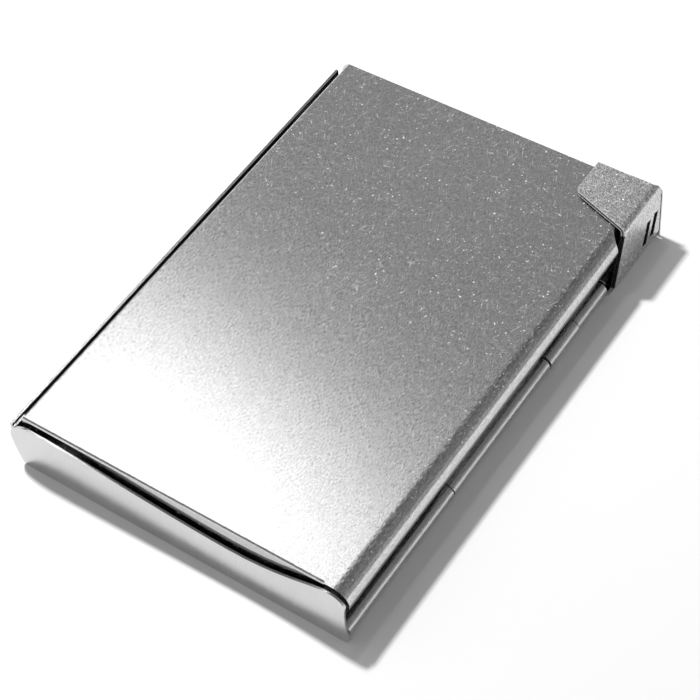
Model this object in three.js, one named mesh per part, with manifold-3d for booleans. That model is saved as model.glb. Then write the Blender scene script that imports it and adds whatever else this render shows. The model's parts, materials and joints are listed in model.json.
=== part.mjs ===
// Business card case in bare brushed sheet metal.
//
// A shallow tray with two end plates carries a lid on a full-length piano hinge
// along one long side. A folded clip turns on the end of the same hinge pin and
// presses one corner of the lid down with a small torsion spring.
//
// Millimetres. +Z is up, +Y runs along the hinge, +X points from the opening edge
// to the hinge side. The origin is the middle of the footprint, on the table.

import * as THREE from 'three';
import { mergeVertices } from 'three/addons/utils/BufferGeometryUtils.js';
import Module from 'manifold-3d';

const wasm = await Module();
wasm.setup();

// ---------------------------------------------------------------- dimensions

const SIDE_RIGHT_X = 34.1;        // outer face of the clip's side
const SIDE_LEFT_X = -33.9;        // widest point of the tray's left wall
const HALF_LENGTH = 49.1;         // outer faces of the end plates
const CASE_TOP = 14.3;            // top of the clip's tab

const PAN_SHEET = 0.5;            // tray pan
const PLATE_SHEET = 0.4;          // end plates
const LEAF_SHEET = 0.5;           // hinge leaves and knuckles
const RAIL_SHEET = 0.5;           // hinge rail foot
const SKIN_SHEET = 0.6;           // outer sheet of the lid
const FRAME_SHEET = 0.5;          // inner frame of the lid
const COVER_SHEET = 0.4;          // outer layer of the clip
const LINER_SHEET = 0.3;          // inner layer of the clip
const FIT_GAP = 0.1;              // between stacked sheets
const RUN_GAP = 0.3;              // between neighbours that move or are cut to fit

const PIN_X = 31.8;               // hinge axis
const PIN_Z = 2.35;
const PIN_RADIUS = 0.8;
const KNUCKLE_RADIUS = 1.5;       // outside of the rolled knuckles
const SLEEVE_RADIUS = 1.7;        // outside of the short, heavier knuckle
const SPLIT_YS = [-18.2, 12.1, 21.6];
const REAR_KNUCKLE_END_Y = 31.3;

const PLATE_INNER_Y = HALF_LENGTH - PLATE_SHEET;
const INSIDE_Y = PLATE_INNER_Y - RUN_GAP;

const PAN_EDGE_X = 28.9;          // right edge of the tray bottom, beside the barrel
const WALL_TOP_Z = 10.3;          // rim of the tray's left wall
const RIM_TURN = 0.1;             // the rim leans in by this much
const WALL_REAR_Y = 46.9;         // the wall stops short of the back plate
const RAIL_TOP_Z = 7.6;
const LEAF_LEFT_X = 23.5;

const LID_LEFT_X = -30.8;
const LID_FRONT_Y = -48.2;
const LID_BACK_Y = 46.8;
const LID_TOP_Z = 13.3;
const ROLL_RADIUS = 3.0;          // outside of the lid's rolled hinge edge
const ROLL_START_X = 30.8;
const ROLL_LOW_Z = LID_TOP_Z - ROLL_RADIUS;
const ROLL_END = -0.3;            // the roll curls under by this angle past a quarter turn
const ROLL_REAR_Y = 33.6;         // the roll ends here to make room for the clip
const CLIP_CORNER_X = 31.6;       // lid edge under the clip
const LIP_LOW_Z = 12.0;           // lower edge of the lid's left and back lips
const FRONT_LIP_LOW_Z = 7.9;      // the front lip reaches down behind the thumb dip
const LIP_RIGHT_X = 29.4;
const LIP_CORNER = 0.5;           // outside radius of the turned lips
const FLANGE_LOW_Z = 8.0;         // lower edge of the frame's flanges
const FRAME_TOP_Z = LID_TOP_Z - SKIN_SHEET - FIT_GAP;

const TAB_LEFT_X = 22.05;         // free edge of the clip's tab
const TAB_FRONT_Y = 39.65;        // front corner of the tab
const TAB_BACK_Y = 47.4;
const CLIP_BACK_Y = PLATE_INNER_Y - RUN_GAP;
const TAB_SLANT = 0.34;           // the front edge leans back this much per mm of tab
const SIDE_SLANT = 0.28;          // and this much per mm of side
const CLIP_FRONT_LIMIT_Y = REAR_KNUCKLE_END_Y + 0.4;
const CLIP_BEND = 1.3;            // outside radius between tab and side
const CLIP_BEND_X = SIDE_RIGHT_X - CLIP_BEND;
const CLIP_BEND_Z = CASE_TOP - CLIP_BEND;
const COVER_RADIUS = SIDE_RIGHT_X - PIN_X;
const COVER_CURL = 0.92 * Math.PI;
const LINER_CURL = 1.67 * Math.PI;
const BACK_TURN_X = SIDE_RIGHT_X - COVER_SHEET - FIT_GAP - LINER_SHEET - RUN_GAP;
const LINER_REACH = 0.15;         // the liner shows this far in front of the cover
const LINER_WINDOW_YS = [37.2, 44.6];
const TAB_CORNER = 1.0;

const SLOT_LENGTH = 5;
const SLOT_WIDTH = 1.3;
const SLOT_Z = 5.95;
const SLOT_YS = [43.6, 46.2];

const WIRE_RADIUS = 0.2;          // clip spring
const COIL_RADIUS = 1.35;
const COIL_TURNS = 8;
const COIL_FRONT_Y = 38.2;
const COIL_PITCH = 0.55;

const RIVET_RADIUS = 0.7;
const RIVET_HOLE = 0.9;
const RIVET_HEAD_RADIUS = 1.5;
const RIVET_HEAD = 0.5;
const HINGE_RIVETS = [[26, -40], [26, 1.6], [26, 40]];
const PLATE_RIVET_XS = [-20, 12];
const PLATE_RIVET_Y = 46;
const PLATE_FOOT_DEPTH = 5;
const PLATE_FOOT_XS = [-29.5, 21];

const SPRING_X = -0.6;            // bowed leaf that holds the cards down
const SPRING_WIDTH = 14;
const SPRING_SHEET = 0.3;
const SPRING_TOP_Z = FRAME_TOP_Z - FRAME_SHEET - FIT_GAP;
const SPRING_FLAT = [-32, -21];
const SPRING_END_Y = 31;
const SPRING_BOW = 3.1;
const SPRING_RIVET_Y = -26.5;
const SPRING_RIVET_XS = [SPRING_X - 4, SPRING_X + 4];

const ARC_STEP = Math.PI / 16;    // one facet of a bend
const CURVE_STEPS = 8;            // facets along one curve of an outline
const ROUND_SIDES = 32;

// ----------------------------------------------------------------- materials

const steel = (color, roughness) =>
  new THREE.MeshStandardMaterial({ color, roughness, metalness: 1 });

const SKIN_STEEL = steel(0xb4b4b4, 0.42);
const PAN_STEEL = steel(0xa8a8a8, 0.45);
const PLATE_STEEL = steel(0xc2c2c2, 0.4);
const HINGE_STEEL = steel(0x9a9a9a, 0.38);
const CLIP_STEEL = steel(0xbababa, 0.36);
const INNER_STEEL = steel(0x8c8c8c, 0.5);
const RIVET_STEEL = steel(0xa0a0a0, 0.35);
const SPRING_STEEL = steel(0x70706e, 0.4);

// ------------------------------------------------------------ shape building

// An (x, z) outline swept along Y from y0 to y1.
function alongY(shape, y0, y1) {
  const geometry = new THREE.ExtrudeGeometry(shape, {
    depth: y1 - y0,
    bevelEnabled: false,
    curveSegments: CURVE_STEPS,
  });
  geometry.rotateX(Math.PI / 2);
  geometry.translate(0, y1, 0);
  return geometry;
}

// An (x, y) outline raised from z0 to z1.
function alongZ(shape, z0, z1) {
  const geometry = new THREE.ExtrudeGeometry(shape, {
    depth: z1 - z0,
    bevelEnabled: false,
    curveSegments: CURVE_STEPS,
  });
  geometry.translate(0, 0, z0);
  return geometry;
}

// A (y, z) outline swept along X from x0 to x1.
function alongX(shape, x0, x1) {
  const geometry = new THREE.ExtrudeGeometry(shape, {
    depth: x1 - x0,
    bevelEnabled: false,
    curveSegments: CURVE_STEPS,
  });
  const axes = new THREE.Matrix4().makeBasis(
    new THREE.Vector3(0, 1, 0),
    new THREE.Vector3(0, 0, 1),
    new THREE.Vector3(1, 0, 0),
  );
  geometry.applyMatrix4(axes);
  geometry.translate(x0, 0, 0);
  return geometry;
}

function polygon(points) {
  return new THREE.Shape(points.map(([a, b]) => new THREE.Vector2(a, b)));
}

function box([x0, x1], [y0, y1], [z0, z1]) {
  const geometry = new THREE.BoxGeometry(x1 - x0, y1 - y0, z1 - z0);
  geometry.translate((x0 + x1) / 2, (y0 + y1) / 2, (z0 + z1) / 2);
  return geometry;
}

function upright(radius, x, y, z0, z1) {
  const geometry = new THREE.CylinderGeometry(radius, radius, z1 - z0, ROUND_SIDES);
  geometry.rotateX(Math.PI / 2);
  geometry.translate(x, y, (z0 + z1) / 2);
  return geometry;
}

function toSolid(geometry) {
  const bare = geometry.clone();
  bare.deleteAttribute('normal');
  bare.deleteAttribute('uv');
  const merged = mergeVertices(bare, 1e-4);
  const mesh = new wasm.Mesh({
    numProp: 3,
    vertProperties: new Float32Array(merged.attributes.position.array),
    triVerts: new Uint32Array(merged.index.array),
  });
  return new wasm.Manifold(mesh);
}

function toGeometry(solid) {
  const mesh = solid.getMesh();
  const geometry = new THREE.BufferGeometry();
  geometry.setAttribute('position', new THREE.BufferAttribute(mesh.vertProperties, 3));
  geometry.setIndex(new THREE.BufferAttribute(mesh.triVerts, 1));
  geometry.computeVertexNormals();
  return geometry;
}

function join(...geometries) {
  return toGeometry(geometries.map(toSolid).reduce((whole, part) => whole.add(part)));
}

function cut(geometry, ...tools) {
  const remove = (whole, tool) => whole.subtract(tool);
  return toGeometry(tools.map(toSolid).reduce(remove, toSolid(geometry)));
}

// ------------------------------------------------------------- the case sides

// Outside of the tray's left side, from the table up: a small foot radius, then a
// wall that leans out to its widest point just under the rim.
function drawLeftSide(outline, inset) {
  const wall = SIDE_LEFT_X + inset;
  outline.lineTo(wall + 2 - inset / 2, inset);
  outline.quadraticCurveTo(wall + 0.9, inset, wall + 0.7, 1.8 + inset / 6);
  outline.quadraticCurveTo(wall, 5, wall, 7.6);
}

function trayPan() {
  const outer = new THREE.Shape();
  outer.moveTo(PAN_EDGE_X, 0);
  drawLeftSide(outer, 0);
  outer.lineTo(SIDE_LEFT_X + RIM_TURN, WALL_TOP_Z);
  outer.lineTo(SIDE_LEFT_X + RIM_TURN + PAN_SHEET, WALL_TOP_Z);
  const inner = new THREE.Shape();
  inner.moveTo(PAN_EDGE_X, PAN_SHEET);
  drawLeftSide(inner, PAN_SHEET);
  const inside = inner.getPoints(CURVE_STEPS).reverse();
  const section = polygon([...outer.getPoints(CURVE_STEPS), ...inside].map((p) => [p.x, p.y]));
  const end = PLATE_INNER_Y - FIT_GAP;
  const relief = box([-40, -30], [WALL_REAR_Y, 60], [PAN_SHEET * 2, 20]);
  const holes = HINGE_RIVETS.map(([x, y]) => upright(RIVET_HOLE, x, y, -1, 2));
  for (const x of PLATE_RIVET_XS) {
    holes.push(upright(RIVET_HOLE, x, -PLATE_RIVET_Y, -1, 2));
    holes.push(upright(RIVET_HOLE, x, PLATE_RIVET_Y, -1, 2));
  }
  return cut(alongY(section, -end, end), relief, ...holes);
}

// The front plate has a shallow thumb dip in its upper edge, and its right end
// draws in between the lid's roll and the foot of the hinge.
function frontPlateOutline() {
  const outline = new THREE.Shape();
  outline.moveTo(32.6, 0);
  drawLeftSide(outline, 0);
  outline.quadraticCurveTo(-33.5, 10.9, -29.4, 11.95);
  outline.bezierCurveTo(-18, 12, -5, 9.5, 11, 9.1);
  outline.bezierCurveTo(21, 8.9, 27, 12.6, 30.4, 12.8);
  outline.quadraticCurveTo(32.6, 12.8, 33.5, 10.9);
  outline.quadraticCurveTo(32.7, 6, 33.4, 1.9);
  outline.quadraticCurveTo(33.5, 0.4, 32.6, 0);
  return outline;
}

// The back plate is straight and low, with a taller shoulder behind the clip.
function backPlateOutline() {
  const outline = new THREE.Shape();
  outline.moveTo(SIDE_RIGHT_X, 0);
  drawLeftSide(outline, 0);
  outline.quadraticCurveTo(SIDE_LEFT_X, 10.5, -31.8, 10.5);
  outline.lineTo(22.5, 10.5);
  outline.bezierCurveTo(25.5, 10.5, 25.5, 12.3, 28.5, 12.3);
  outline.lineTo(32.7, 12.3);
  outline.quadraticCurveTo(SIDE_RIGHT_X, 12.3, SIDE_RIGHT_X, 10.9);
  outline.lineTo(SIDE_RIGHT_X, 0);
  return outline;
}

// A foot riveted on the tray bottom carries each end plate. side is -1 at the
// front and 1 at the back.
function endPlate(outline, side) {
  const span = (a, b) => [Math.min(side * a, side * b), Math.max(side * a, side * b)];
  const sheet = alongY(outline, ...span(PLATE_INNER_Y, HALF_LENGTH));
  const depth = span(PLATE_INNER_Y - PLATE_FOOT_DEPTH, PLATE_INNER_Y + PLATE_SHEET / 2);
  const foot = box(PLATE_FOOT_XS, depth, [PAN_SHEET, PAN_SHEET + PLATE_SHEET]);
  const holes = PLATE_RIVET_XS.map((x) => upright(RIVET_HOLE, x, side * PLATE_RIVET_Y, -1, 3));
  return cut(join(sheet, foot), ...holes);
}

// The front plate also turns back along the inside of the tray's left wall.
function frontPlate() {
  const turnXs = [SIDE_LEFT_X + 1, SIDE_LEFT_X + 1 + PLATE_SHEET];
  const turn = box(turnXs, [-PLATE_INNER_Y - PLATE_SHEET / 2, -46], [4.2, 10.3]);
  return join(endPlate(frontPlateOutline(), -1), turn);
}

// The back plate turns forward just inside the clip's side.
function backPlate() {
  const turnXs = [BACK_TURN_X - PLATE_SHEET, BACK_TURN_X];
  const turn = box(turnXs, [47.2, PLATE_INNER_Y + PLATE_SHEET / 2], [4.7, 12]);
  return join(endPlate(backPlateOutline(), 1), turn);
}

// -------------------------------------------------------------------- hinge

// The barrel has four knuckles, counted from the front: 0 and 2 belong to the tray,
// 1 and 3 to the lid.
function knuckleSpan(i) {
  const ends = [-INSIDE_Y - RUN_GAP / 2, ...SPLIT_YS, REAR_KNUCKLE_END_Y + RUN_GAP / 2];
  return [ends[i] + RUN_GAP / 2, ends[i + 1] - RUN_GAP / 2];
}

// A knuckle rolled from the end of a sheet, in (x, z): the outside is drawn from
// one angle to the other and the inside is drawn back.
function drawRoll(outline, from, to, outside) {
  const steps = Math.ceil((to - from) / ARC_STEP);
  const arc = (radius) => {
    const points = [];
    for (let i = 0; i <= steps; i += 1) {
      const angle = from + ((to - from) * i) / steps;
      points.push([PIN_X + radius * Math.cos(angle), PIN_Z + radius * Math.sin(angle)]);
    }
    return points;
  };
  outline.push(...arc(outside), ...arc(KNUCKLE_RADIUS - LEAF_SHEET).reverse());
}

const LEAF_LOW_Z = PIN_Z - KNUCKLE_RADIUS;
const LEAF_HIGH_Z = LEAF_LOW_Z + LEAF_SHEET;

// Tray leaf: lies on the pan and rolls up into the front knuckle and the short one.
function trayHingeLeaf() {
  const rolled = (outside) => {
    const section = [[LEAF_LEFT_X, LEAF_LOW_Z]];
    drawRoll(section, -Math.PI / 2, 1.14 * Math.PI, outside);
    section.push([LEAF_LEFT_X, LEAF_HIGH_Z]);
    return polygon(section);
  };
  const flat = box([LEAF_LEFT_X, PAN_EDGE_X], [-INSIDE_Y, INSIDE_Y], [LEAF_LOW_Z, LEAF_HIGH_Z]);
  const leaf = join(
    flat,
    alongY(rolled(KNUCKLE_RADIUS), ...knuckleSpan(0)),
    alongY(rolled(SLEEVE_RADIUS), ...knuckleSpan(2)),
  );
  return cut(leaf, ...HINGE_RIVETS.map(([x, y]) => upright(RIVET_HOLE, x, y, -1, 3)));
}

// Angle rail over the leaf: keeps the cards away from the barrel.
function hingeRail() {
  const ys = [-INSIDE_Y, INSIDE_Y];
  const foot = box([LEAF_LEFT_X, PAN_EDGE_X], ys, [LEAF_HIGH_Z, LEAF_HIGH_Z + RAIL_SHEET]);
  const wallXs = [PAN_EDGE_X - RAIL_SHEET, PAN_EDGE_X];
  const wall = box(wallXs, ys, [LEAF_HIGH_Z + RAIL_SHEET / 2, RAIL_TOP_Z]);
  return cut(join(foot, wall), ...HINGE_RIVETS.map(([x, y]) => upright(RIVET_HOLE, x, y, -1, 3)));
}

// Lid leaf: one strap under the lid frame, with two sheets that hang from it and
// roll round the pin.
function lidHingeLeaf() {
  const left = PIN_X - KNUCKLE_RADIUS;
  const top = FRAME_TOP_Z - FRAME_SHEET - FIT_GAP;
  const section = [
    [LEAF_LEFT_X, top],
    [LEAF_LEFT_X, top - LEAF_SHEET],
    [left, top - LEAF_SHEET],
  ];
  drawRoll(section, Math.PI, 2.83 * Math.PI, KNUCKLE_RADIUS);
  section.push([left + LEAF_SHEET, top]);
  const [front] = knuckleSpan(1);
  const [, rear] = knuckleSpan(3);
  return join(
    box([LEAF_LEFT_X, left + LEAF_SHEET], [front, rear], [top - LEAF_SHEET, top]),
    alongY(polygon(section), ...knuckleSpan(1)),
    alongY(polygon(section), ...knuckleSpan(3)),
  );
}

function hingePin() {
  const length = 2 * (PLATE_INNER_Y - FIT_GAP);
  const geometry = new THREE.CylinderGeometry(PIN_RADIUS, PIN_RADIUS, length, ROUND_SIDES);
  geometry.translate(PIN_X, 0, PIN_Z);
  return geometry;
}

// Domed rivet: flush at the bottom of its stack, head on top (or below, upside down).
function rivet(x, y, flushZ, stackZ) {
  const way = Math.sign(stackZ - flushZ);
  const reach = Math.abs(stackZ - flushZ);
  const profile = [
    new THREE.Vector2(0, 0),
    new THREE.Vector2(RIVET_RADIUS, 0),
    new THREE.Vector2(RIVET_RADIUS, reach),
    new THREE.Vector2(RIVET_HEAD_RADIUS, reach),
    new THREE.Vector2(RIVET_HEAD_RADIUS * 0.86, reach + RIVET_HEAD * 0.6),
    new THREE.Vector2(RIVET_HEAD_RADIUS * 0.5, reach + RIVET_HEAD * 0.92),
    new THREE.Vector2(0, reach + RIVET_HEAD),
  ];
  const geometry = new THREE.LatheGeometry(profile, 16);
  geometry.rotateX((way * Math.PI) / 2);
  geometry.translate(x, y, flushZ);
  return geometry;
}

// ---------------------------------------------------------------------- lid

// Plan of the corner that is taken off the lid to make room for the clip.
function clipCorner() {
  const cutout = polygon([
    [CLIP_CORNER_X, ROLL_REAR_Y + 2.8],
    [CLIP_CORNER_X + 0.5, ROLL_REAR_Y + 1.6],
    [CLIP_CORNER_X + 1.5, ROLL_REAR_Y + 0.5],
    [CLIP_CORNER_X + 2.6, ROLL_REAR_Y],
    [40, ROLL_REAR_Y],
    [40, 60],
    [CLIP_CORNER_X, 60],
  ]);
  return alongZ(cutout, 5, 20);
}

// Front lip: the sheet turns down over a small radius and hangs inside the front plate.
function frontLip() {
  const inner = LID_FRONT_Y + SKIN_SHEET;
  const [bendY, bendZ] = [LID_FRONT_Y + LIP_CORNER, LID_TOP_Z - LIP_CORNER];
  const section = new THREE.Shape();
  section.moveTo(LID_FRONT_Y, FRONT_LIP_LOW_Z);
  section.lineTo(inner, FRONT_LIP_LOW_Z);
  section.lineTo(inner, LID_TOP_Z);
  section.lineTo(bendY, LID_TOP_Z);
  section.absarc(bendY, bendZ, LIP_CORNER, Math.PI / 2, Math.PI, false);
  return alongX(section, LID_LEFT_X, LIP_RIGHT_X);
}

// Outer sheet of the lid: a flat top, lips on three sides, and a quarter roll over
// the barrel on the fourth.
function lidSkin() {
  const low = LID_TOP_Z - SKIN_SHEET;
  const outline = new THREE.Shape();
  outline.moveTo(LID_LEFT_X, LIP_LOW_Z);
  outline.lineTo(LID_LEFT_X + SKIN_SHEET, LIP_LOW_Z);
  outline.lineTo(LID_LEFT_X + SKIN_SHEET, low);
  outline.lineTo(ROLL_START_X, low);
  outline.absarc(ROLL_START_X, ROLL_LOW_Z, ROLL_RADIUS - SKIN_SHEET, Math.PI / 2, ROLL_END, true);
  outline.absarc(ROLL_START_X, ROLL_LOW_Z, ROLL_RADIUS, ROLL_END, Math.PI / 2, false);
  outline.lineTo(LID_LEFT_X + LIP_CORNER, LID_TOP_Z);
  outline.quadraticCurveTo(LID_LEFT_X, LID_TOP_Z, LID_LEFT_X, LID_TOP_Z - LIP_CORNER);
  const lipTop = low + SKIN_SHEET / 3;
  const sheetFrontY = LID_FRONT_Y + LIP_CORNER;
  const rollFront = cut(
    alongY(outline, LID_FRONT_Y, sheetFrontY + SKIN_SHEET),
    box([LID_LEFT_X - 1, LIP_RIGHT_X - 0.1], [LID_FRONT_Y - 1, LID_FRONT_Y + 2], [0, CASE_TOP]),
  );
  const skin = join(
    alongY(outline, sheetFrontY, LID_BACK_Y),
    rollFront,
    frontLip(),
    box([LID_LEFT_X, LIP_RIGHT_X], [LID_BACK_Y - SKIN_SHEET, LID_BACK_Y], [LIP_LOW_Z, lipTop]),
  );
  return cut(skin, clipCorner());
}

// Inner frame: a flat sheet with flanges that drop inside the tray.
function lidFrame() {
  const left = LID_LEFT_X + SKIN_SHEET + RUN_GAP;
  const front = LID_FRONT_Y + SKIN_SHEET + RUN_GAP;
  const back = LID_BACK_Y - SKIN_SHEET - RUN_GAP;
  const low = FRAME_TOP_Z - FRAME_SHEET;
  const sheet = box([left, LIP_RIGHT_X], [front, back], [low, FRAME_TOP_Z]);
  const leftFlange = box([left, left + FRAME_SHEET], [front, back], [FLANGE_LOW_Z, FRAME_TOP_Z]);
  const backFlange = box([left, LIP_RIGHT_X], [back - FRAME_SHEET, back], [FLANGE_LOW_Z, FRAME_TOP_Z]);
  const nose = FRAME_TOP_Z - ROLL_LOW_Z;
  const end = new THREE.Shape();
  end.moveTo(left, FLANGE_LOW_Z);
  end.lineTo(30.4, FLANGE_LOW_Z);
  end.quadraticCurveTo(ROLL_START_X + nose, FLANGE_LOW_Z, ROLL_START_X + nose, ROLL_LOW_Z);
  end.absarc(ROLL_START_X, ROLL_LOW_Z, nose, 0, Math.PI / 2, false);
  end.lineTo(left, FRAME_TOP_Z);
  const frontFlange = alongY(end, front, front + FRAME_SHEET);
  const frame = join(sheet, leftFlange, backFlange, frontFlange);
  return cut(frame, ...SPRING_RIVET_XS.map((x) => upright(RIVET_HOLE, x, SPRING_RIVET_Y, 10, 14)));
}

// Bowed leaf spring: flat where it is riveted, free to slide at the other end.
function cardSpring() {
  const [flatFrom, flatTo] = SPRING_FLAT;
  const steps = 18;
  const top = [[flatFrom, SPRING_TOP_Z]];
  for (let i = 0; i <= steps; i += 1) {
    const y = flatTo + ((SPRING_END_Y - flatTo) * i) / steps;
    const drop = SPRING_BOW * Math.sin((Math.PI * i) / steps) ** 2;
    top.push([y, SPRING_TOP_Z - drop]);
  }
  const under = top.map(([y, z]) => [y, z - SPRING_SHEET]).reverse();
  const half = SPRING_WIDTH / 2;
  const strip = alongX(polygon([...top, ...under]), SPRING_X - half, SPRING_X + half);
  return cut(strip, ...SPRING_RIVET_XS.map((x) => upright(RIVET_HOLE, x, SPRING_RIVET_Y, 10, 14)));
}

// --------------------------------------------------------------------- clip

const TAB_LENGTH = CLIP_BEND_X - TAB_LEFT_X;
const BEND_LENGTH = (CLIP_BEND * Math.PI) / 2;

// Stations along a sheet that runs over the lid, bends down the side and curls
// round the pin. inset is how far the sheet lies inside the clip's outer faces.
// Each station has its outer and inner point in (x, z), and its distance from the
// tab's free edge along the clip's outer face.
function clipStations(startX, inset, sheet, curl) {
  const stations = [];
  const push = (x, z, radius, angle, along) => stations.push({
    outer: [x + radius * Math.cos(angle), z + radius * Math.sin(angle)],
    inner: [x + (radius - sheet) * Math.cos(angle), z + (radius - sheet) * Math.sin(angle)],
    along,
  });
  for (const part of [0, 0.08, 0.2, 0.4, 0.7, 1]) {
    const x = startX + part * TAB_CORNER;
    push(x, CLIP_BEND_Z, CLIP_BEND - inset, Math.PI / 2, x - TAB_LEFT_X);
  }
  const bendSteps = Math.round(Math.PI / 2 / ARC_STEP);
  for (let i = 0; i <= bendSteps; i += 1) {
    const turned = (i / bendSteps) * (Math.PI / 2);
    const along = TAB_LENGTH + CLIP_BEND * turned;
    push(CLIP_BEND_X, CLIP_BEND_Z, CLIP_BEND - inset, Math.PI / 2 - turned, along);
  }
  const curlStart = TAB_LENGTH + BEND_LENGTH + CLIP_BEND_Z - PIN_Z;
  const curlSteps = Math.round(curl / ARC_STEP);
  for (let i = 0; i <= curlSteps; i += 1) {
    const turned = (i / curlSteps) * curl;
    push(PIN_X, PIN_Z, COVER_RADIUS - inset, -turned, curlStart + COVER_RADIUS * turned);
  }
  return stations;
}

// The slanted front edge, which stops short of the rear knuckle.
function clipFrontY(along) {
  const onTab = Math.min(along, TAB_LENGTH);
  const slanted = TAB_FRONT_Y - TAB_SLANT * onTab - SIDE_SLANT * (along - onTab);
  return Math.max(slanted, CLIP_FRONT_LIMIT_Y);
}

// The back edge, set back a little where it runs over the lid.
function clipBackY(along) {
  const past = Math.min(Math.max((along - TAB_LENGTH) / BEND_LENGTH, 0), 1);
  return TAB_BACK_Y + (CLIP_BACK_Y - TAB_BACK_Y) * past;
}

// Closed sheet between the two edges, with one rounded corner on the tab.
function clipSheet(stations, reach, backInset) {
  const positions = [];
  for (const { outer, inner, along } of stations) {
    const fromCorner = Math.max(0, TAB_CORNER - (along - stations[0].along));
    const round = TAB_CORNER - Math.sqrt(TAB_CORNER ** 2 - Math.min(fromCorner, TAB_CORNER) ** 2);
    const front = clipFrontY(along) - reach + round;
    const back = clipBackY(along) - backInset;
    positions.push(outer[0], front, outer[1], outer[0], back, outer[1]);
    positions.push(inner[0], back, inner[1], inner[0], front, inner[1]);
  }
  const index = [];
  const quad = (a, b, c, d) => index.push(a, b, c, a, c, d);
  const last = stations.length - 1;
  for (let i = 0; i < last; i += 1) {
    for (let k = 0; k < 4; k += 1) {
      const here = 4 * i + k;
      const next = 4 * i + ((k + 1) % 4);
      quad(here, here + 4, next + 4, next);
    }
  }
  quad(0, 1, 2, 3);
  quad(4 * last + 3, 4 * last + 2, 4 * last + 1, 4 * last);
  const geometry = new THREE.BufferGeometry();
  geometry.setAttribute('position', new THREE.Float32BufferAttribute(positions, 3));
  geometry.setIndex(index);
  geometry.computeVertexNormals();
  return geometry;
}

// A slot through the clip's side, leaning like its front edge.
function slot(y, width) {
  const depth = 6;
  const geometry = new THREE.BoxGeometry(depth, width, SLOT_LENGTH);
  geometry.rotateX(-Math.atan(SIDE_SLANT));
  geometry.translate(PIN_X + depth / 2, y, SLOT_Z);
  return geometry;
}

function clipCover() {
  const stations = clipStations(TAB_LEFT_X, 0, COVER_SHEET, COVER_CURL);
  const sheet = clipSheet(stations, 0, 0);
  return cut(sheet, ...SLOT_YS.map((y) => slot(y, SLOT_WIDTH)));
}

// Inner layer: its two ears roll nearly all the way round the pin, with the
// torsion spring in the window between them.
function clipLiner() {
  const stations = clipStations(TAB_LEFT_X + 0.3, COVER_SHEET + FIT_GAP, LINER_SHEET, LINER_CURL);
  const sheet = clipSheet(stations, LINER_REACH, 0.3);
  const windowTop = SLOT_Z + SLOT_LENGTH / 2 + 0.3;
  const window = box([PIN_X - 3, SIDE_RIGHT_X], LINER_WINDOW_YS, [-1, windowTop]);
  return cut(sheet, window, slot(SLOT_YS[1] + 0.4, SLOT_WIDTH * 1.6));
}

// Torsion spring round the pin: one leg runs up to the lid's frame, the other
// ends as a hook in the front slot of the clip.
function clipSpring() {
  const points = [];
  const turnsStart = Math.PI;
  const turnsEnd = turnsStart + COIL_TURNS * 2 * Math.PI + Math.PI;
  const steps = COIL_TURNS * 14 + 7;
  points.push([PIN_X - COIL_RADIUS - 2.2, COIL_FRONT_Y, SPRING_TOP_Z - 0.4]);
  points.push([PIN_X - COIL_RADIUS - 0.2, COIL_FRONT_Y, SPRING_TOP_Z - 0.6]);
  points.push([PIN_X - COIL_RADIUS, COIL_FRONT_Y, SPRING_TOP_Z - 1.2]);
  points.push([PIN_X - COIL_RADIUS, COIL_FRONT_Y, PIN_Z + 1.4]);
  for (let i = 0; i <= steps; i += 1) {
    const angle = turnsStart + ((turnsEnd - turnsStart) * i) / steps;
    const y = COIL_FRONT_Y + (COIL_PITCH * (angle - turnsStart)) / (2 * Math.PI);
    points.push([PIN_X + COIL_RADIUS * Math.cos(angle), y, PIN_Z + COIL_RADIUS * Math.sin(angle)]);
  }
  const endY = COIL_FRONT_Y + (COIL_PITCH * (turnsEnd - turnsStart)) / (2 * Math.PI);
  points.push([PIN_X + COIL_RADIUS, endY, PIN_Z + 1.4]);
  points.push([PIN_X + COIL_RADIUS, SLOT_YS[0], SLOT_Z - 0.4]);
  points.push([PIN_X + COIL_RADIUS + 0.15, SLOT_YS[0], SLOT_Z - 0.1]);
  points.push([PIN_X + COVER_RADIUS - COVER_SHEET / 2, SLOT_YS[0], SLOT_Z]);
  return sweepWire(points, WIRE_RADIUS, 6);
}

// A round wire through the given points, closed at both ends.
function sweepWire(points, radius, sides) {
  const nodes = points.map((p) => new THREE.Vector3(...p));
  const positions = [];
  const index = [];
  let normal = new THREE.Vector3(0, 1, 0);
  nodes.forEach((node, i) => {
    const ahead = nodes[Math.min(i + 1, nodes.length - 1)].clone();
    const tangent = ahead.sub(nodes[Math.max(i - 1, 0)]).normalize();
    normal = normal.clone().addScaledVector(tangent, -normal.dot(tangent)).normalize();
    const side = new THREE.Vector3().crossVectors(tangent, normal);
    for (let k = 0; k < sides; k += 1) {
      const angle = (2 * Math.PI * k) / sides;
      const point = node.clone();
      point.addScaledVector(normal, radius * Math.cos(angle));
      point.addScaledVector(side, radius * Math.sin(angle));
      positions.push(point.x, point.y, point.z);
    }
  });
  for (let i = 0; i < nodes.length - 1; i += 1) {
    for (let k = 0; k < sides; k += 1) {
      const a = i * sides + k;
      const b = i * sides + ((k + 1) % sides);
      index.push(a, b, b + sides, a, b + sides, a + sides);
    }
  }
  const end = (nodes.length - 1) * sides;
  for (let k = 1; k < sides - 1; k += 1) {
    index.push(0, k + 1, k);
    index.push(end, end + k, end + k + 1);
  }
  const geometry = new THREE.BufferGeometry();
  geometry.setAttribute('position', new THREE.Float32BufferAttribute(positions, 3));
  geometry.setIndex(index);
  geometry.computeVertexNormals();
  return geometry;
}

// ----------------------------------------------------------------- assembly

const group = new THREE.Group();

function place(name, geometry, material) {
  const mesh = new THREE.Mesh(geometry, material);
  mesh.name = name;
  group.add(mesh);
}

const RIVET_FLUSH_Z = 0.05;

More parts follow.
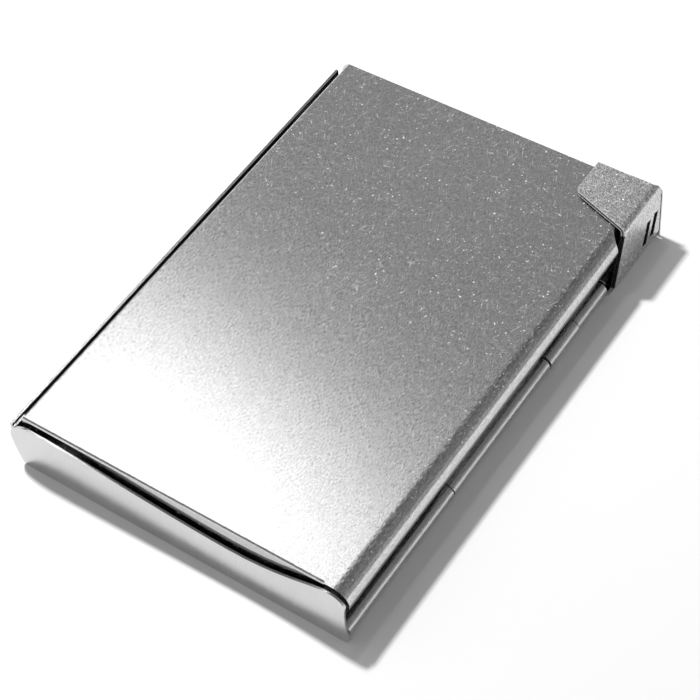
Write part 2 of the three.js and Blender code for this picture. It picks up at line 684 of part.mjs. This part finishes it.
place('tray_pan', trayPan(), PAN_STEEL);
place('front_plate', frontPlate(), PLATE_STEEL);
place('back_plate', backPlate(), PLATE_STEEL);
place('tray_hinge_leaf', trayHingeLeaf(), HINGE_STEEL);
place('hinge_rail', hingeRail(), INNER_STEEL);
place('hinge_pin', hingePin(), HINGE_STEEL);
HINGE_RIVETS.forEach(([x, y], i) => {
  place(`hinge_rivet_${i + 1}`, rivet(x, y, RIVET_FLUSH_Z, LEAF_HIGH_Z + RAIL_SHEET), RIVET_STEEL);
});
PLATE_RIVET_XS.forEach((x, i) => {
  const stack = PAN_SHEET + PLATE_SHEET;
  place(`front_plate_rivet_${i + 1}`, rivet(x, -PLATE_RIVET_Y, RIVET_FLUSH_Z, stack), RIVET_STEEL);
  place(`back_plate_rivet_${i + 1}`, rivet(x, PLATE_RIVET_Y, RIVET_FLUSH_Z, stack), RIVET_STEEL);
});

place('lid_skin', lidSkin(), SKIN_STEEL);
place('lid_frame', lidFrame(), INNER_STEEL);
place('lid_hinge_leaf', lidHingeLeaf(), HINGE_STEEL);
place('card_spring', cardSpring(), SPRING_STEEL);
SPRING_RIVET_XS.forEach((x, i) => {
  const flush = FRAME_TOP_Z - FIT_GAP;
  const stack = SPRING_TOP_Z - SPRING_SHEET - FIT_GAP;
  place(`card_spring_rivet_${i + 1}`, rivet(x, SPRING_RIVET_Y, flush, stack), RIVET_STEEL);
});

place('clip_cover', clipCover(), CLIP_STEEL);
place('clip_liner', clipLiner(), INNER_STEEL);
place('clip_spring', clipSpring(), SPRING_STEEL);

export default group;
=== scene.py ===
"""Looks of the business card case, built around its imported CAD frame.

The case is bare sheet steel. Every sheet is remade with rounded edges, and gets a
procedural brushed finish in the object's own coordinates.
"""
import json
import math

import bmesh
import bpy
from mathutils import Matrix, Vector

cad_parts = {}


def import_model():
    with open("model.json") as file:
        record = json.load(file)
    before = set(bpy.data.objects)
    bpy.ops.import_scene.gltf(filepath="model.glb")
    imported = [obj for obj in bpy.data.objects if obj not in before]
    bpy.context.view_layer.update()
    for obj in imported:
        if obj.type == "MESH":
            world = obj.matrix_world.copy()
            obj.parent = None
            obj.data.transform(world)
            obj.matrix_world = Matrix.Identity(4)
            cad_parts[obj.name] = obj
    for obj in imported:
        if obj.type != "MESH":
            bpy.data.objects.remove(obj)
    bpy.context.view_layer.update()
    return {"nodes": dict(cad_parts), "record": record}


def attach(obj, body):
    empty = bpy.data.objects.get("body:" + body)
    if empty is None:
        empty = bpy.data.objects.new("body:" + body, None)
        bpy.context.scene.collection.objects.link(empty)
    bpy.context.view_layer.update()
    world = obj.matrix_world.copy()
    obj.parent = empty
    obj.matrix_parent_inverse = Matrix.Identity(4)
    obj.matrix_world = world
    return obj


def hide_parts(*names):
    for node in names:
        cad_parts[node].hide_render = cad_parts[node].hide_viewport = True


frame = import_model()

MM = 0.001
RECORD = frame["record"]
BODY_OF = {node: body for body, nodes in RECORD["behaviour"]["bodies"].items() for node in nodes}
SLOT_OF = {part["node"]: part["material_slot"] for part in RECORD["subparts"]}


# --------------------------------------------------------------- shader nodes

def node_tree(name):
    material = bpy.data.materials.new(name)
    material.use_nodes = True
    tree = material.node_tree
    return material, tree, tree.nodes["Principled BSDF"]


def add(tree, kind, **values):
    """A new node. Each value is one of its settings or, failing that, one of its sockets."""
    node = tree.nodes.new(kind)
    for key, value in values.items():
        if hasattr(node, key):
            setattr(node, key, value)
        else:
            node.inputs[key.replace("_", " ")].default_value = value
    return node


def math_node(tree, operation, a, b=0.0):
    node = add(tree, "ShaderNodeMath", operation=operation)
    for socket, value in zip(node.inputs, (a, b)):
        if isinstance(value, (int, float)):
            socket.default_value = value
        else:
            tree.links.new(value, socket)
    return node.outputs["Value"]


def total(tree, a, b):
    return math_node(tree, "ADD", a, b)


def product(tree, a, b):
    return math_node(tree, "MULTIPLY", a, b)


def less(tree, a, b):
    return math_node(tree, "SUBTRACT", a, b)


def greater(tree, a, b):
    return math_node(tree, "MAXIMUM", a, b)


def remap(tree, value, low, high, to_low=0.0, to_high=1.0):
    node = add(tree, "ShaderNodeMapRange", From_Min=low, From_Max=high, To_Min=to_low, To_Max=to_high)
    tree.links.new(value, node.inputs["Value"])
    return node.outputs["Result"]


def stretched_noise(tree, coords, scale, turn=0.0, detail=4.0, roughness=0.6):
    """Noise drawn out into lines: scale is per metre along each axis after a turn about Z."""
    turned = add(tree, "ShaderNodeMapping", Rotation=(0.0, 0.0, turn))
    tree.links.new(coords, turned.inputs["Vector"])
    scaled = add(tree, "ShaderNodeMapping", Scale=scale)
    tree.links.new(turned.outputs["Vector"], scaled.inputs["Vector"])
    noise = add(tree, "ShaderNodeTexNoise", Scale=1.0, Detail=detail, Roughness=roughness)
    tree.links.new(scaled.outputs["Vector"], noise.inputs["Vector"])
    return noise.outputs["Fac"]


def object_coords(tree):
    return add(tree, "ShaderNodeTexCoord").outputs["Object"]


def paint_grey(tree, shader, value):
    colour = add(tree, "ShaderNodeCombineColor")
    for channel in ("Red", "Green", "Blue"):
        tree.links.new(value, colour.inputs[channel])
    tree.links.new(colour.outputs["Color"], shader.inputs["Base Color"])


# ---------------------------------------------------------------- brushed steel

# Noise scales, per metre along x, y and z.
LENGTHWISE = (7600.0, 1200.0, 7600.0)
UPRIGHT = (5200.0, 5200.0, 420.0)
CROSSWISE = (1200.0, 4200.0, 1200.0)
AROUND = (4200.0, 160.0, 4200.0)
EVEN = (900.0, 900.0, 900.0)
PITS = (8600.0, 6200.0, 8600.0)
CLOUDS = (38.0, 26.0, 38.0)
SPECKS = (2600.0, 2600.0, 2600.0)
BLOTCHES = (1900.0, 5200.0, 1900.0)
RUBS = (3400.0, 1500.0, 3400.0)
BAND_SHADE_PATCHES = (2600.0, 1300.0, 2600.0)
EDGE_WEAR = (420.0, 420.0, 420.0)

# Turns about Z, in radians.
BRUSH_PASSES = (0.0, 0.30, -0.24)
BLOTCH_TURN = 0.6
HAIRLINES = ((0.35, 300.0), (-0.5, 340.0), (1.35, 420.0))    # turn, scale along the line
HAIRLINE_ACROSS = 4200.0

# Stretches of a noise that are spread over the whole range.
MIDDLE = (0.3, 0.7)
THREE_PASSES = (1.2, 1.8)
HAIRLINE_CUT = (0.72, 0.86)
SPECK_CUT = (0.75, 0.86)
RUB_CUT = (0.54, 0.70)

# Steepness, from 0 on a level face to 1 on an upright one, at which a sheet's fold begins and ends.
FOLD = (0.01, 0.10)
# Steepness over which upright faces are darkened with painted shade.
SHADED_SIDE = (0.3, 0.9)
RUBS_RISE, RUBS_FALL = (0.0003, 0.004), (0.02, 0.05)
# Steepness over which the fold's band of painted shade rises and falls.
SHADE_BAND_RISE, SHADE_BAND_FALL = (0.004, 0.03), (0.08, 0.16)

GRAIN_HEIGHT = 0.03 * MM
GRAIN_STRENGTH = 0.6
FOLD_GRAIN = 0.08               # what is left of the grain's height on a polished fold
ROUGHNESS_SPREAD = 0.05
PIT_HEIGHT, SCRATCH_HEIGHT = 0.35, -0.3
SPECK_SHINE, SCRATCH_SHINE = 0.35, 0.16
SCRATCH_SCUFF, SCUFFED = 0.4, 0.6


def steepness(tree):
    """0 on the level faces of a sheet, rising to 1 on its turned-down sides, in the object's own axes."""
    split = add(tree, "ShaderNodeSeparateXYZ")
    tree.links.new(add(tree, "ShaderNodeTexCoord").outputs["Normal"], split.inputs["Vector"])
    return less(tree, 1.0, math_node(tree, "ABSOLUTE", split.outputs["Z"]))


def across_grain(tree, shader, direction):
    """Spreads the highlight along direction, square to the brushing, in the object's own axes."""
    vector = add(tree, "ShaderNodeCombineXYZ", X=direction[0], Y=direction[1], Z=direction[2])
    turned = add(tree, "ShaderNodeVectorTransform", vector_type="VECTOR",
                 convert_from="OBJECT", convert_to="WORLD")
    tree.links.new(vector.outputs["Vector"], turned.inputs["Vector"])
    tree.links.new(turned.outputs["Vector"], shader.inputs["Tangent"])


def brush_strokes(tree, coords, fine):
    first, second, third = (stretched_noise(tree, coords, fine, turn=turn, detail=3.0)
                            for turn in BRUSH_PASSES)
    return remap(tree, total(tree, total(tree, first, second), third), *THREE_PASSES)


def hairlines(tree, coords):
    lines = []
    for turn, along in HAIRLINES:
        scale = (HAIRLINE_ACROSS, along, HAIRLINE_ACROSS)
        lines.append(remap(tree, stretched_noise(tree, coords, scale, turn=turn, detail=0.0), *HAIRLINE_CUT))
    return greater(tree, greater(tree, lines[0], lines[1]), lines[2])


def fold_rubs_and_painted_shade(tree, coords, steep, tint):
    """Bright rubs where the sheet starts to turn, then a band of painted shade, darker in patches. Returns
    the tint and the rubs.
    """
    start = product(tree, remap(tree, steep, *RUBS_RISE), remap(tree, steep, *RUBS_FALL, 1.0, 0.0))
    rubs = remap(tree, stretched_noise(tree, coords, RUBS, detail=2.0), *RUB_CUT)
    # Painted shade: a band down the fold is darkened in patches.
    band = product(tree, remap(tree, steep, *SHADE_BAND_RISE), remap(tree, steep, *SHADE_BAND_FALL, 1.0, 0.0))
    shade_patches = stretched_noise(tree, coords, BAND_SHADE_PATCHES, detail=2.0)
    painted_band_shade = product(tree, band, remap(tree, shade_patches, 0.35, 0.65, 0.0, 0.4))
    return product(tree, tint, less(tree, 1.0, painted_band_shade)), product(tree, start, rubs)


def brushed_steel(name, tone, roughness, fine, depth=1.0, scratches=1.0, contrast=0.10, anisotropy=0.0,
                  across=(1.0, 0.0, 0.0), fold_roughness=None, painted_side_shade=1.0, rubbed_fold_and_shade=False, mottle=0.0):
    """Brushed bare steel. fine is the grain's noise scale, and across is square to the brushing."""
    material, tree, shader = node_tree(name)
    coords = object_coords(tree)
    steep = steepness(tree)
    fold = remap(tree, steep, *FOLD)
    grain = brush_strokes(tree, coords, fine)
    pits = stretched_noise(tree, coords, PITS, detail=2.0, roughness=0.7)
    clouds = stretched_noise(tree, coords, CLOUDS, detail=2.0)
    scratch = hairlines(tree, coords)
    speck = remap(tree, stretched_noise(tree, coords, SPECKS, detail=0.0), *SPECK_CUT)

    tint = remap(tree, grain, 0.0, 1.0, tone * (1.0 - contrast), min(tone * (1.0 + contrast), 1.0))
    tint = product(tree, tint, remap(tree, pits, *MIDDLE, 1.0 - contrast, 1.0 + contrast))
    # Painted shade: upright faces are darkened, down to the given fraction of the tone.
    tint = product(tree, tint, remap(tree, steep, *SHADED_SIDE, 1.0, painted_side_shade))
    scuffs = greater(tree, speck, product(tree, scratch, SCRATCH_SCUFF))
    scuffs = product(tree, scuffs, SCUFFED * scratches)
    if mottle:
        blotch = stretched_noise(tree, coords, BLOTCHES, turn=BLOTCH_TURN, detail=5.0, roughness=0.8)
        tint = product(tree, tint, remap(tree, blotch, 0.35, 0.65, 1.0 - mottle, 1.0 + mottle))
        scuffs = total(tree, scuffs, remap(tree, blotch, 0.50, 0.72, 0.0, 0.5 * mottle))
    if rubbed_fold_and_shade:
        tint, rubs = fold_rubs_and_painted_shade(tree, coords, steep, tint)
        scuffs = total(tree, scuffs, product(tree, rubs, 0.5))
    tint = product(tree, tint, remap(tree, clouds, *MIDDLE, 0.96, 1.03))
    shine = total(tree, product(tree, speck, SPECK_SHINE), product(tree, scratch, SCRATCH_SHINE))
    paint_grey(tree, shader, total(tree, tint, product(tree, shine, scratches)))
    tree.links.new(less(tree, 1.0, scuffs), shader.inputs["Metallic"])

    rough = remap(tree, grain, 0.0, 1.0, roughness - ROUGHNESS_SPREAD, roughness + ROUGHNESS_SPREAD)
    height = total(tree, grain, product(tree, pits, PIT_HEIGHT))
    height = total(tree, height, product(tree, scratch, SCRATCH_HEIGHT * scratches))
    if fold_roughness:
        rough = less(tree, rough, product(tree, fold, roughness - fold_roughness))
        height = product(tree, height, remap(tree, fold, 0.0, 1.0, 1.0, FOLD_GRAIN))
    tree.links.new(rough, shader.inputs["Roughness"])
    bump = add(tree, "ShaderNodeBump", Strength=GRAIN_STRENGTH * depth, Distance=GRAIN_HEIGHT)
    tree.links.new(height, bump.inputs["Height"])
    tree.links.new(bump.outputs["Normal"], shader.inputs["Normal"])
    if anisotropy:
        across_grain(tree, shader, across)
        shader.inputs["Anisotropic"].default_value = anisotropy
    return material


def edge_steel(name, tone, roughness):
    """Sheared and rubbed edges of a sheet, which scatter light more than its faces do: a lighter, less
    metallic finish that is partly a painted highlight. Made near black, it is also the painted shade on slot
    walls.
    """
    material, tree, shader = node_tree(name)
    wear = stretched_noise(tree, object_coords(tree), EDGE_WEAR, detail=5.0)
    paint_grey(tree, shader, remap(tree, wear, *MIDDLE, tone * 0.8, tone))
    rough = remap(tree, wear, *MIDDLE, roughness + 0.08, roughness - 0.06)
    tree.links.new(rough, shader.inputs["Roughness"])
    shader.inputs["Metallic"].default_value = 0.45
    return material


FINISH = {
    "lid_skin": brushed_steel("lid_skin_steel", 0.78, 0.28, LENGTHWISE, depth=0.38, contrast=0.30,
                              anisotropy=0.7, fold_roughness=0.10, painted_side_shade=0.6, rubbed_fold_and_shade=True),
    "tray_pan": brushed_steel("tray_pan_steel", 0.55, 0.20, LENGTHWISE, depth=0.4, scratches=0.3),
    "end_plate": brushed_steel("end_plate_steel", 0.62, 0.22, UPRIGHT, depth=0.5, scratches=0.2,
                               contrast=0.06),
    "hinge": brushed_steel("hinge_steel", 0.62, 0.26, AROUND, depth=0.5, scratches=0.2),
    # Painted shade: the rail and the lid frame, hidden in the gaps under the lid, are made dark so that
    # these gaps read as shadow.
    "rail": brushed_steel("rail_painted_shade_steel", 0.12, 0.5, LENGTHWISE, scratches=0.3),
    "lid_frame": brushed_steel("lid_frame_painted_shade_steel", 0.40, 0.40, LENGTHWISE, scratches=0.3),
    "clip": brushed_steel("clip_steel", 0.86, 0.42, CROSSWISE, depth=0.9, scratches=1.5, contrast=0.30,
                          anisotropy=0.7, across=(0.0, 1.0, 0.0), fold_roughness=0.30, painted_side_shade=0.68,
                          mottle=0.6),
    "clip_liner": brushed_steel("clip_liner_steel", 0.34, 0.34, LENGTHWISE, scratches=0.3),
    "spring": brushed_steel("spring_steel", 0.32, 0.36, AROUND, scratches=0.3),
    "rivet": brushed_steel("rivet_steel", 0.58, 0.30, EVEN, scratches=0.5),
}
# Rubbed edges: real wear, made lighter and less metallic so they also act as a painted highlight along the
# rims.
RUBBED_EDGE_HIGHLIGHT = edge_steel("rubbed_edge_painted_highlight", 0.88, 0.40)
# Painted shade: a near-black finish for the walls of the clip's slots, standing in for the shadow inside
# them.
SLOT_SHADE = edge_steel("slot_painted_shade", 0.02, 0.8)
HIGHLIGHT_EDGED = {"front_plate", "lid_skin", "clip_cover", "clip_liner"}
SLOTTED = {"clip_cover", "clip_liner"}


# --------------------------------------------------------------------- meshes

EDGE_WIDTH = 0.08 * MM
EDGE_ANGLE = 38.0
SMOOTH_ANGLE = 40.0
FLAT_ANGLE = 0.5                # faces closer than this to one plane are joined
FACE_MATERIAL, EDGE_MATERIAL, SLOT_SHADE_MATERIAL = range(3)


def round_edges(bm):
    limit = math.radians(EDGE_ANGLE)
    sharp = [e for e in bm.edges if len(e.link_faces) == 2 and e.calc_face_angle(0.0) > limit]
    bmesh.ops.bevel(bm, geom=sharp, offset=EDGE_WIDTH, offset_type="OFFSET", segments=2, profile=0.5,
                    affect="EDGES", clamp_overlap=True, material=EDGE_MATERIAL)


def paint_slot_shade(bm):
    """Paints shade on the walls of the openings in a clip's right-hand side: they get a near-black material
    of their own.
    """
    low = [min(v.co[axis] for v in bm.verts) for axis in range(3)]
    high = [max(v.co[axis] for v in bm.verts) for axis in range(3)]
    bm.normal_update()
    for face in bm.faces:
        centre = face.calc_center_median()
        on_side = centre.x > high[0] - 1.2 * MM
        within_y = low[1] + MM < centre.y < high[1] - MM
        within_z = low[2] + MM < centre.z < high[2] - 2.0 * MM
        # Faces of the slot walls get the painted shade.
        if on_side and within_y and within_z and abs(face.normal.x) < 0.95:
            face.material_index = SLOT_SHADE_MATERIAL


def shade_smooth(obj):
    mesh = obj.data
    mesh.polygons.foreach_set("use_smooth", [True] * len(mesh.polygons))
    mesh.set_sharp_from_angle(angle=math.radians(SMOOTH_ANGLE))
    weighted = obj.modifiers.new("weighted", "WEIGHTED_NORMAL")
    weighted.keep_sharp = True


def refine(node):
    """The CAD sheet with its edges rounded and, on some sheets, rubbed edges that are partly a painted
    highlight; the clip's slot walls get painted shade.
    """
    bm = bmesh.new()
    bm.from_mesh(frame["nodes"][node].data)
    bmesh.ops.remove_doubles(bm, verts=bm.verts, dist=1e-6)
    bmesh.ops.dissolve_limit(bm, angle_limit=math.radians(FLAT_ANGLE), verts=bm.verts, edges=bm.edges)
    for face in bm.faces:
        face.material_index = FACE_MATERIAL
    round_edges(bm)
    if node in SLOTTED:
        paint_slot_shade(bm)
    mesh = bpy.data.meshes.new(node + "_sheet")
    bm.to_mesh(mesh)
    bm.free()
    finish = FINISH[SLOT_OF[node]]
    for material in (finish, RUBBED_EDGE_HIGHLIGHT if node in HIGHLIGHT_EDGED else finish, SLOT_SHADE):
        mesh.materials.append(material)
    piece = bpy.data.objects.new(node + "_sheet", mesh)
    bpy.context.scene.collection.objects.link(piece)
    shade_smooth(piece)
    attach(piece, BODY_OF[node])
    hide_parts(node)


for name in frame["nodes"]:
    refine(name)


# --------------------------------------------------------------------- studio

FLOOR_HALF = 3.0
CEILING_LEVEL, FLAG_LEVEL = 0.275, 0.18
FLAG_DIRECTION = (0.45, 0.48, 0.75)
FLAG_EDGE = (0.72, 0.86)        # cosine of the angle from the flag's middle
SWEEP_TOP = (0.22, 0.42)        # sine of the height at which the bright sweep fades
SWEEP_ENDS = (-0.8, 0.8)        # from far left to far right
SWEEP_LEVELS = (1.1, 0.34)

# The camera looks down at the front right corner, a little turned about its own axis.
CAMERA_AZIMUTH, CAMERA_ELEVATION, CAMERA_ROLL = 39.66, 51.6, -7.04
CAMERA_DISTANCE = 345.82 * MM
CAMERA_TARGET = Vector((0.83, -0.91, 0.0)) * MM
CAMERA_LENS, CAMERA_SENSOR = 102.64, 36.0


def link(obj):
    bpy.context.scene.collection.objects.link(obj)
    return obj


def floor():
    mesh = bpy.data.meshes.new("floor")
    h = FLOOR_HALF
    mesh.from_pydata([(-h, -h, 0), (h, -h, 0), (h, h, 0), (-h, h, 0)], [], [(0, 1, 2, 3)])
    material, tree, shader = node_tree("pale_paper")
    shader.inputs["Base Color"].default_value = (0.93, 0.93, 0.93, 1.0)
    shader.inputs["Roughness"].default_value = 0.9
    shader.inputs["Specular IOR Level"].default_value = 0.1
    mesh.materials.append(material)
    link(bpy.data.objects.new("floor", mesh))


def area_light(name, place, size, power):
    """A square lamp aimed at the middle of the case."""
    data = bpy.data.lights.new(name, "AREA")
    data.shape = "RECTANGLE"
    data.size = data.size_y = size
    data.energy = power
    light = link(bpy.data.objects.new(name, data))
    light.location = place
    light.rotation_euler = (-Vector(place)).to_track_quat("-Z", "Y").to_euler()
    return light


def sun(name, slope, strength, spread):
    """Throws a soft shadow. slope is how far it falls along x and y per unit of height."""
    data = bpy.data.lights.new(name, "SUN")
    data.energy = strength
    data.angle = math.radians(spread)
    light = link(bpy.data.objects.new(name, data))
    light.rotation_euler = Vector((*slope, -1.0)).to_track_quat("-Z", "Y").to_euler()
    return light


def world():
    """A dim ceiling over a sweep that is brighter to the left, and a dark flag over the hinge side."""
    scene_world = bpy.data.worlds.new("studio")
    scene_world.use_nodes = True
    tree = scene_world.node_tree
    background = tree.nodes["Background"]
    background.inputs["Color"].default_value = (1.0, 1.0, 1.0, 1.0)
    direction = add(tree, "ShaderNodeTexCoord").outputs["Generated"]
    split = add(tree, "ShaderNodeSeparateXYZ")
    tree.links.new(direction, split.inputs["Vector"])
    facing = add(tree, "ShaderNodeVectorMath", operation="DOT_PRODUCT")
    tree.links.new(direction, facing.inputs[0])
    facing.inputs[1].default_value = Vector(FLAG_DIRECTION).normalized()
    ceiling = remap(tree, facing.outputs["Value"], *FLAG_EDGE, CEILING_LEVEL, FLAG_LEVEL)
    height = remap(tree, split.outputs["Z"], *SWEEP_TOP)
    bright = remap(tree, split.outputs["X"], *SWEEP_ENDS, *SWEEP_LEVELS)
    sweep = product(tree, less(tree, 1.0, height), bright)
    tree.links.new(total(tree, sweep, product(tree, height, ceiling)), background.inputs["Strength"])
    bpy.context.scene.world = scene_world


def camera():
    azimuth, elevation, roll = map(math.radians, (CAMERA_AZIMUTH, CAMERA_ELEVATION, CAMERA_ROLL))
    level = math.cos(elevation)
    back = Vector((math.sin(azimuth) * level, -math.cos(azimuth) * level, math.sin(elevation)))
    right = Vector((math.cos(azimuth), math.sin(azimuth), 0.0))
    up = back.cross(right)
    right, up = (math.cos(roll) * right + math.sin(roll) * up, math.cos(roll) * up - math.sin(roll) * right)
    data = bpy.data.cameras.new("camera")
    data.lens = CAMERA_LENS
    data.sensor_width = CAMERA_SENSOR
    data.clip_start = 0.01
    obj = link(bpy.data.objects.new("camera", data))
    pose = Matrix((right, up, back)).transposed().to_4x4()
    pose.translation = CAMERA_TARGET + back * CAMERA_DISTANCE
    obj.matrix_world = pose
    bpy.context.scene.camera = obj


floor()
camera()
world()
for lamp in (
    area_light("key", place=(-0.212, 0.052, 0.545), size=0.045, power=2.95),
    area_light("second", place=(-0.08, 0.06, 0.60), size=0.04, power=0.20),
    sun("fill", slope=(-0.4, -1.0), strength=0.22, spread=90.0),
):
    lamp.visible_glossy = False
reflection = area_light("key_reflection", place=(-0.231, 0.150, 0.440), size=0.10, power=0.165)
reflection.visible_diffuse = False
bpy.context.scene.view_settings.view_transform = "Standard"
bpy.context.scene.view_settings.look = "None"
bpy.context.scene.view_settings.exposure = 0.0
